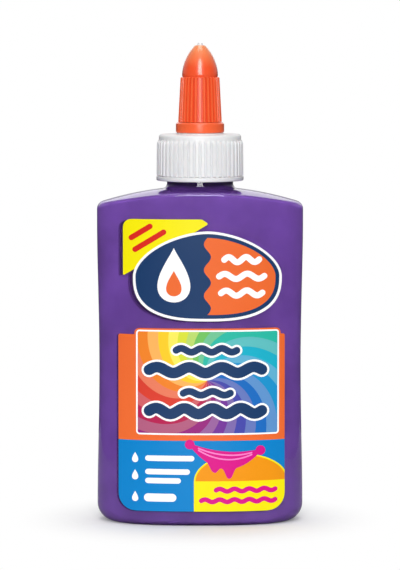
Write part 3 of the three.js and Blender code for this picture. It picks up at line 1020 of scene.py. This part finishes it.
def panel_shapes(label):
    """The orange panel and the blue one under it, with white bars and drops."""
    left, right, foot, join = label.left, label.right, label.foot, label.blue_top
    upper = (0, 0, PANEL_CORNER, PANEL_CORNER)
    lower = (label.corner, label.corner, 0, 0)
    shapes = [
        (2, "orange", box_outline(left, right, join, label.orange_top, upper)),
        (2, "blue", box_outline(left, right, foot, join, lower)),
    ]
    for up, reach, width in ((21.2, 13.6, 1.7), (17.0, 12.2, 1.7), (14.2, 9.4, 1.7), (8.9, 7.6, 2.5)):
        shapes.append((3, "white", bar_outline(-16.2 * MM, up * MM, reach * MM, width * MM)))
    for up in (21.4, 16.0, 9.2):
        shapes.append((3, "white", drop_outline(-20.2 * MM, up * MM, 3.2 * MM)))
    return shapes


def slime_shapes(label):
    """A sheet of slime stretched between two knobs, over a hill and a yellow corner with two waves."""
    right = label.right
    corner_left, corner_top = -1.9 * MM, 14.1 * MM
    hill = Vector((12.7 * MM, corner_top))
    knobs = (Vector((-3.2 * MM, 26 * MM)), Vector((18.8 * MM, 24 * MM)))
    drips = ((0.34, 2 * MM), (0.56, 3 * MM))
    shapes = [
        (3, "yellow", hill_outline(hill, 14.6 * MM, 8.6 * MM, right)),
        (4, "amber", hill_outline(hill, 14.1 * MM, 8.1 * MM, right)),
        (5, "yellow", box_outline(corner_left, right, label.foot, corner_top, (0, label.corner, 0, 0))),
        (5, "magenta", swag_outline(*knobs, 1.6 * MM, 6.2 * MM, drips)),
    ]
    for left, up in ((5, 11.3), (0.4, 8)):
        line = wave(left * MM, 23.4 * MM, up * MM, 0.4 * MM, 4.6 * MM)
        shapes.append((6, "magenta", stroke_outline(line, 1.5 * MM)))
    for knob in knobs:
        shapes.append((6, "magenta", oval_outline(knob.x, knob.y - 0.4 * MM, 1.5 * MM, 1.5 * MM)))
    for sag in (2.4 * MM, 3.8 * MM):
        shapes.append((6, "pink", stroke_outline(fold_line(*knobs, sag), 0.45 * MM)))
    return shapes


def front_shapes(label):
    """Layers, inks and outlines of the front print."""
    corners = (label.corner, label.corner, PANEL_CORNER, PANEL_CORNER)
    panels = box_outline(label.left, label.right, label.foot, label.orange_top, corners)
    # outlines that get a painted shadow, and how far it reaches
    shaded = ((flag_outline(label), 1.4 * MM), (badge_outline(0), 1.6 * MM), (panels, 0.6 * MM))
    return [
        *shadow_shapes(shaded), *flag_shapes(label), *panel_shapes(label), *slime_shapes(label),
        *badge_shapes(), *burst_shapes(),
    ]


def back_shapes(label):
    """Layers, inks and outlines of the back print: a white panel with two waved bands, drops and bars."""
    left, right, foot, top, corner = label.left, label.right, label.foot, label.top, label.corner
    upper, lower, dots = 80 * MM, 22 * MM, 64 * MM
    first_bar, bar_step = 52 * MM, 4.2 * MM
    upper_wave, lower_wave = [wave(left, right, up, 1.6 * MM, 26 * MM) for up in (upper, lower)]
    head = rounded([(right, top, corner), (left, top, corner), (left, upper, 0), (right, upper, 0)])
    base = rounded([(left, foot, corner), (right, foot, corner), (right, lower, 0), (left, lower, 0)])
    shapes = [
        (0, "white", box_outline(left, right, foot, top, [corner] * 4)),
        (1, "orange", head[:-2] + upper_wave),
        (1, "blue", base[:-2] + lower_wave[::-1]),
        (2, "yellow", stroke_outline(upper_wave, 1 * MM)),
        (2, "yellow", stroke_outline(lower_wave, 1 * MM)),
    ]
    for across, name in ((-14, "magenta"), (0.5, "navy"), (15, "amber")):
        shapes.append((1, name, oval_outline(across * MM, dots, 6.2 * MM, 6.2 * MM)))
        shapes.append((2, "white", drop_outline(across * MM, dots + 0.6 * MM, 7.6 * MM)))
    for row, reach in enumerate((40, 38, 41, 30, 37, 22)):
        outline = bar_outline(-20 * MM, first_bar - bar_step * row, reach * MM, 1.1 * MM)
        shapes.append((1, "navy", outline))
    return shapes


def add_plate(bm, outline, height, sink, index):
    """Adds a thin flat plate, cut finely enough to bend round the wall. Its thickness is along Y."""
    face = bm.faces.new([bm.verts.new((point.x, -sink, point.y)) for point in outline])
    face.material_index = index
    geometry = [face, *face.edges, *face.verts]
    for axis, part, pitch in ((X, 0, 1.2 * MM), (Z, 1, 4 * MM)):
        places = [point[part] / pitch for point in outline]
        for number in range(math.floor(min(places)) + 1, math.ceil(max(places))):
            place, across = Vector(), Vector()
            place[axis] = number * pitch
            across[axis] = 1
            geometry = bmesh.ops.bisect_plane(
                bm, geom=geometry, dist=0.001 * MM, plane_co=place, plane_no=across
            )["geom"]
    faces = [item for item in geometry if isinstance(item, bmesh.types.BMFace)]
    raised = bmesh.ops.extrude_face_region(bm, geom=faces)["geom"]
    points = [item for item in raised if isinstance(item, bmesh.types.BMVert)]
    bmesh.ops.translate(bm, verts=points, vec=(0, sink + height, 0))


def bend(sizes, point, side):
    """Where a flat print's point lies on the wall. side is -1 at the front and 1 at the back."""
    inset = waist(sizes, point.z)
    half_width = sizes.width / 2 - inset
    half_depth = sizes.depth / 2 - inset
    share = abs(point.x) / half_width
    along = half_depth * (1 - share ** sizes.power) ** (1 / sizes.power)
    normal = Vector((
        math.copysign(share ** (sizes.power - 1) / half_width, point.x),
        (along / half_depth) ** (sizes.power - 1) / half_depth,
    )).normalized()
    return Vector((-side * (point.x + normal.x * point.y), side * (along + normal.y * point.y), point.z))


def print_material(settings, name):
    """An ink, made once and shared by both labels."""
    made = bpy.data.materials.get("ink_" + name)
    if made:
        return made
    if name == "rainbow":
        return rainbow_ink(settings.label)
    return ink(name, getattr(settings.colours, name), 0.16 if name == "shade" else 1.0)


def make_label(settings, shapes, side, name, node):
    """Prints the shapes on one side of the bottle."""
    names = sorted({shape[1] for shape in shapes})
    film = settings.label.film
    bm = bmesh.new()
    for layer, ink_name, outline in shapes:
        add_plate(bm, outline, (layer + 1) * film, film, names.index(ink_name))
    for point in bm.verts:
        point.co = bend(settings.bottle, point.co, side)
    materials = [print_material(settings, ink_name) for ink_name in names]
    finish_piece(bm, name, materials, "bottle", node, weld=False)


class OBJECT_OT_glue_bottle_labels(bpy.types.Operator):
    """Prints the front and back labels on the bottle's wall"""

    bl_idname = "object.glue_bottle_labels"
    bl_label = "Labels"

    def execute(self, context):
        settings = context.scene.glue_bottle
        make_label(settings, front_shapes(settings.label), -1, "front_print", "front_label")
        make_label(settings, back_shapes(settings.label), 1, "back_print", "back_label")
        return {"FINISHED"}


# Cap, liner and tip

def cap_outline(cap):
    """Profile of the cap and its spout, as (radius, height) points."""
    deck_foot = cap.top - cap.deck
    wall = wall_rows(cap.rim_top, cap.rib_top, cap.wall_foot, cap.wall_top, 0.12 * MM, 6)
    return rounded([
        (cap.bore, cap.foot, 0.3 * MM), (cap.rim, cap.foot, 0.35 * MM), (cap.rim, cap.rim_top, 0.25 * MM),
        *[(radius, height, 0) for radius, height in wall],
        (cap.wall_top, cap.top, 0.9 * MM),
        (cap.seat, cap.top, 0.1 * MM), (cap.seat, cap.seat_top, 0.1 * MM),
        (cap.spout, cap.seat_top, 0.4 * MM), (cap.spout, cap.spout_step, 0.25 * MM),
        (cap.spout_seal, cap.spout_step, 0.2 * MM), (cap.spout_seal, cap.spout_top, 0.4 * MM),
        (cap.spout_bore, cap.spout_top, 0.2 * MM), (cap.spout_bore, deck_foot, 0.3 * MM),
        (cap.bore, deck_foot, 0.6 * MM),
    ])


def add_pin(bm, cap):
    """Adds the pin that plugs the tip's hole, and the spokes that hold it in the spout."""
    columns = 24
    spokes = 3
    half_width, tall = 0.4 * MM, 1.6 * MM
    shaft = (
        (cap.pin_foot, 1), (cap.pin_top - 0.4 * MM, 1), (cap.pin_top - 0.12 * MM, 0.85),
        (cap.pin_top - 0.02 * MM, 0.6), (cap.pin_top, 0.3),
    )
    skin_rings(bm, [circle(share * cap.pin, height, columns) for height, share in shaft])
    ends = (0.3 * cap.pin, (cap.spout_bore + cap.spout_seal) / 2)
    foot = Vector((0, 0, cap.pin_foot))
    rise = Vector((0, 0, tall))
    corners = ((-1, 0), (1, 0), (1, 1), (-1, 1))
    for spoke in range(spokes):
        angle = TURN * spoke / spokes
        ahead = Vector((math.cos(angle), math.sin(angle), 0))
        aside = Vector((-math.sin(angle), math.cos(angle), 0)) * half_width
        skin_rings(bm, [
            [foot + ahead * end + aside * side + rise * up for side, up in corners] for end in ends
        ])


class OBJECT_OT_glue_bottle_cap(bpy.types.Operator):
    """Models the ribbed screw cap with its spout, threads and closing pin"""

    bl_idname = "object.glue_bottle_cap"
    bl_label = "Screw cap"

    def execute(self, context):
        settings = context.scene.glue_bottle
        cap = settings.cap
        bm = bmesh.new()
        turn_outline(bm, cap_outline(cap), cap.ribs * RIB_COLUMNS)
        raise_ribs(
            bm, (cap.bore + cap.wall_top) / 2, cap.ribs, cap.rim_top, cap.rib_top, cap.rib_depth,
            flanks=(0.12, 0.55), fades=(0.3 * MM, 1 * MM), front_rib=False
        )
        thread_start, thread_crest = cap.foot + 1.4 * MM, cap.bore - 1.1 * MM
        add_thread(bm, thread_start, (0.25, 1.5), cap.pitch, cap.bore, thread_crest, half=0.9 * MM)
        spout_crest = cap.spout + 0.62 * MM
        add_thread(bm, cap.spout_thread, (0, 1.25), cap.lead, cap.spout, spout_crest, half=0.6 * MM)
        add_pin(bm, cap)
        white = moulded_plastic(
            "white_plastic", settings.colours.cap, groove_shade=(0.905, 0.91, 0.92), rough=0.4, grain=0.004 * MM,
            soft=0.08
        )
        finish_piece(bm, "ribbed_cap", [white], "cap", "screw_cap")
        return {"FINISHED"}


class OBJECT_OT_glue_bottle_liner(bpy.types.Operator):
    """Models the foam sealing liner under the cap's top"""

    bl_idname = "object.glue_bottle_liner"
    bl_label = "Sealing liner"

    def execute(self, context):
        columns = 96
        foot, top = LOW["seal_liner"][Z], HIGH["seal_liner"][Z]
        outer, hole = HIGH["seal_liner"][X], 5.5 * MM
        bm = bmesh.new()
        turn_outline(bm, box_outline(hole, outer, foot, top, [0.15 * MM] * 4), columns)
        liner = foam(context.scene.glue_bottle.colours.liner)
        finish_piece(bm, "liner_washer", [liner], "liner", "seal_liner")
        return {"FINISHED"}


def tip_outline(tip):
    """Profile of the tip, as (radius, height) points."""
    nose_steps = 24
    end_round = 0.22 * MM
    wall = wall_rows(tip.foot, tip.shoulder, tip.wall_foot, tip.wall_top, 0.1 * MM, 7)
    last = math.asin((tip.end - tip.shoulder) / tip.nose_curve)
    nose = []
    for step in range(1, nose_steps + 1):
        angle = last * step / nose_steps
        radius = tip.nose - tip.nose_curve * (1 - math.cos(angle))
        height = tip.shoulder + tip.nose_curve * math.sin(angle)
        nose.append((radius, height, end_round if step == nose_steps else 0))
    return rounded([
        (tip.bore, tip.skirt_foot, 0.1 * MM), (tip.skirt, tip.skirt_foot, 0.1 * MM),
        (tip.skirt, tip.foot, 0),
        *[(radius, height, 0) for radius, height in wall], *nose,
        (tip.orifice, tip.end, 0.12 * MM), (tip.orifice, tip.orifice_foot, 0),
        (tip.land, tip.land_top, 0), (tip.land, tip.land_foot, 0.1 * MM),
        (tip.bore, tip.land_foot, 0.3 * MM),
    ])


def ring_outline(tip):
    """Profile of the tip's foot ring, as (radius, height) points."""
    inside = tip.skirt + 0.1 * MM
    return rounded([
        (inside, tip.ring_foot, 0), (tip.ring - 0.25 * MM, tip.ring_foot, 0.15 * MM),
        (tip.ring, tip.ring_foot + 0.3 * MM, 0.15 * MM),
        (tip.ring, tip.ring_top - tip.ring_slope, 0.3 * MM),
        (tip.ring - 0.6 * MM, tip.ring_top, 0.2 * MM), (inside, tip.ring_top, 0),
    ])


class OBJECT_OT_glue_bottle_tip(bpy.types.Operator):
    """Models the ribbed twist tip and its foot ring"""

    bl_idname = "object.glue_bottle_tip"
    bl_label = "Twist tip and foot ring"

    def execute(self, context):
        settings = context.scene.glue_bottle
        tip = settings.tip
        cap = settings.cap
        ring_columns = 128
        # the orange is painted with shade in the grooves and a paler glow towards the nose's end
        orange = moulded_plastic(
            "orange_plastic", settings.colours.tip, groove_shade=(0.85, 0.55, 0.45), rough=0.3, grain=0.003 * MM,
            soft=0.12, glow_heights=(tip.shoulder, tip.end)
        )
        bm = bmesh.new()
        turn_outline(bm, tip_outline(tip), tip.ribs * RIB_COLUMNS)
        raise_ribs(
            bm, (tip.bore + tip.wall_top) / 2, tip.ribs, tip.foot, tip.shoulder, tip.rib_depth,
            flanks=(0.3, 0.6), fades=(0.1 * MM, 0.3 * MM), front_rib=True
        )
        start = cap.spout_thread - cap.lead / 2
        add_thread(bm, start, (0.5, 1.75), cap.lead, tip.bore, tip.bore - 0.65 * MM, half=0.6 * MM)
        finish_piece(bm, "ribbed_tip", [orange], "tip", "twist_tip")
        ring = bmesh.new()
        turn_outline(ring, ring_outline(tip), ring_columns)
        finish_piece(ring, "tip_foot_ring", [orange], "tip_foot", "tip_collar")
        return {"FINISHED"}


# Stage

FLOOR_HALF = 0.22  # half the floor's width
SHADOW_FADE = (0.018, 0.06)  # distances from the axis between which the floor fades to plain white
ROOM_LIGHT = 0.26  # strength of the even light from all round
LAMPS = (  # name, place, aim, width, height, watts
    ("front_strip", (0, -1.3, 0.65), (0, 0, 0.13), 0.5, 1.15, 16),
    ("top_light", (0, 0, 1.2), (0, 0, 0.1), 0.6, 0.6, 4.1),
    ("back_light", (0, 1.2, 0.6), (0, 0, 0.1), 1.6, 0.7, 2.9),
)
CAMERA_PLACE = (0, -1.1, 0.165)
CAMERA_AIM = (0, 0, 0.0741)
CAMERA_LENS = 222


def floor_material():
    """White paper that keeps the shadow near the object and fades to plain white further off.

    Mirrored in the bottle it is grey, as a dim table is.
    """
    material, tree, shader = new_material("white_paper", roughness=0.9, specular_ior_level=0.1)
    reach = tree.node("ShaderNodeVectorMath", {"operation": "LENGTH"}, {0: tree.place()}).output("Value")
    seen = tree.node("ShaderNodeLightPath")
    paper = tree.mix(tree.noise(1.5 * MM, 2.0), (0.95, 0.95, 0.95), (0.97, 0.97, 0.97))
    mirrored = tree.mix(seen.output("Is Glossy Ray"), paper, (0.42, 0.42, 0.42))
    tree.fill(shader, {"Base Color": mirrored})
    far = tree.fade(reach, *SHADOW_FADE, "SMOOTHSTEP")
    plain = tree.node("ShaderNodeEmission", inputs={"Color": (1, 1, 1, 1), "Strength": 1.0})
    output = next(node for node in tree.tree.nodes if node.type == "OUTPUT_MATERIAL")
    mixed = tree.node("ShaderNodeMixShader", inputs={
        0: far * seen, 1: Value(tree, shader.outputs[0]), 2: plain,
    })
    tree.fill(output, {"Surface": mixed})
    return material


def mirrored_backdrop(tree):
    """What gloss mirrors: a dim room, and behind the object a pale screen with a bright strip."""
    dim, pale, bright = 0.06, 0.33, 0.5
    across, along, height = tree.axes(tree.node("ShaderNodeTexCoord"))

    def fade(value, start, end):
        return tree.fade(value, start, end, "SMOOTHSTEP")

    behind = fade(along, -0.1, 0.4)
    screen = pale * fade(height, 0.0, 0.1)
    strip = bright * fade(across.math("ABSOLUTE"), 0.12, 0.03)
    strip = strip * fade(height, -0.05, -0.04) * fade(height, 0.3, 0.15)
    return dim + behind * screen.math("MAXIMUM", strip)


def light_world(scene, level):
    """A white room that lights evenly, and shows as plain white straight on and through clear walls."""
    world = bpy.data.worlds.new("white_room")
    scene.world = world
    tree = Tree(world)
    rays = tree.node("ShaderNodeLightPath")
    seen = rays.math("MAXIMUM", rays.output("Is Transmission Ray"))
    unseen = level + rays.output("Is Glossy Ray") * (mirrored_backdrop(tree) - level)
    tree.fill(tree.tree.nodes["Background"], {
        "Color": (1, 1, 1, 1),
        "Strength": unseen + seen * (1 - unseen),
    })


def add_floor(scene):
    """A sheet of white paper under the object."""
    bm = bmesh.new()
    bmesh.ops.create_grid(bm, x_segments=8, y_segments=8, size=FLOOR_HALF)
    mesh = bpy.data.meshes.new("floor")
    bm.to_mesh(mesh)
    bm.free()
    mesh.materials.append(floor_material())
    floor = bpy.data.objects.new("floor", mesh)
    scene.collection.objects.link(floor)


def add_aimed(scene, name, data, place, aim):
    """Puts a lamp or camera at a place, turned towards a point."""
    item = bpy.data.objects.new(name, data)
    item.location = place
    item.rotation_euler = (Vector(aim) - Vector(place)).to_track_quat("-Z", "Y").to_euler()
    scene.collection.objects.link(item)
    return item


def add_lamp(scene, name, place, aim, width, height, power):
    """A soft rectangular lamp turned towards a point."""
    data = bpy.data.lights.new(name, "AREA")
    data.shape = "RECTANGLE"
    data.size = width
    data.size_y = height
    data.energy = power
    add_aimed(scene, name, data, place, aim)


class SCENE_OT_glue_bottle_stage(bpy.types.Operator):
    """Sets up the floor, the light and the camera"""

    bl_idname = "scene.glue_bottle_stage"
    bl_label = "Stage"

    def execute(self, context):
        scene = context.scene
        add_floor(scene)
        light_world(scene, ROOM_LIGHT)
        for lamp in LAMPS:
            add_lamp(scene, *lamp)
        data = bpy.data.cameras.new("photo_camera")
        data.lens = CAMERA_LENS
        scene.camera = add_aimed(scene, "photo_camera", data, CAMERA_PLACE, CAMERA_AIM)
        scene.view_settings.view_transform = "Standard"
        return {"FINISHED"}


# Add-on

BUILDERS = (
    OBJECT_OT_glue_bottle_shell,
    OBJECT_OT_glue_bottle_glue,
    OBJECT_OT_glue_bottle_labels,
    OBJECT_OT_glue_bottle_cap,
    OBJECT_OT_glue_bottle_liner,
    OBJECT_OT_glue_bottle_tip,
    SCENE_OT_glue_bottle_stage,
)


class VIEW3D_PT_glue_bottle(bpy.types.Panel):
    """Lists the steps that build the bottle"""

    bl_label = "Glue Bottle"
    bl_idname = "VIEW3D_PT_glue_bottle"
    bl_space_type = "VIEW_3D"
    bl_region_type = "UI"
    bl_category = "Glue Bottle"

    def draw(self, context):
        for builder in BUILDERS:
            self.layout.operator(builder.bl_idname)


CLASSES = (
    BottleSizes, CapSizes, TipSizes, LabelSizes, Colours, GlueBottle, *BUILDERS, VIEW3D_PT_glue_bottle,
)


def register():
    """Registers the classes and gives each scene its settings."""
    for kind in CLASSES:
        bpy.utils.register_class(kind)
    bpy.types.Scene.glue_bottle = PointerProperty(type=GlueBottle)


def unregister():
    """Takes the settings and the classes out again."""
    del bpy.types.Scene.glue_bottle
    for kind in reversed(CLASSES):
        bpy.utils.unregister_class(kind)


def main():
    """Builds every piece and the stage."""
    register()
    bpy.ops.object.glue_bottle_shell()
    bpy.ops.object.glue_bottle_glue()
    bpy.ops.object.glue_bottle_labels()
    bpy.ops.object.glue_bottle_cap()
    bpy.ops.object.glue_bottle_liner()
    bpy.ops.object.glue_bottle_tip()
    bpy.ops.scene.glue_bottle_stage()


if __name__ == "__main__":
    main()
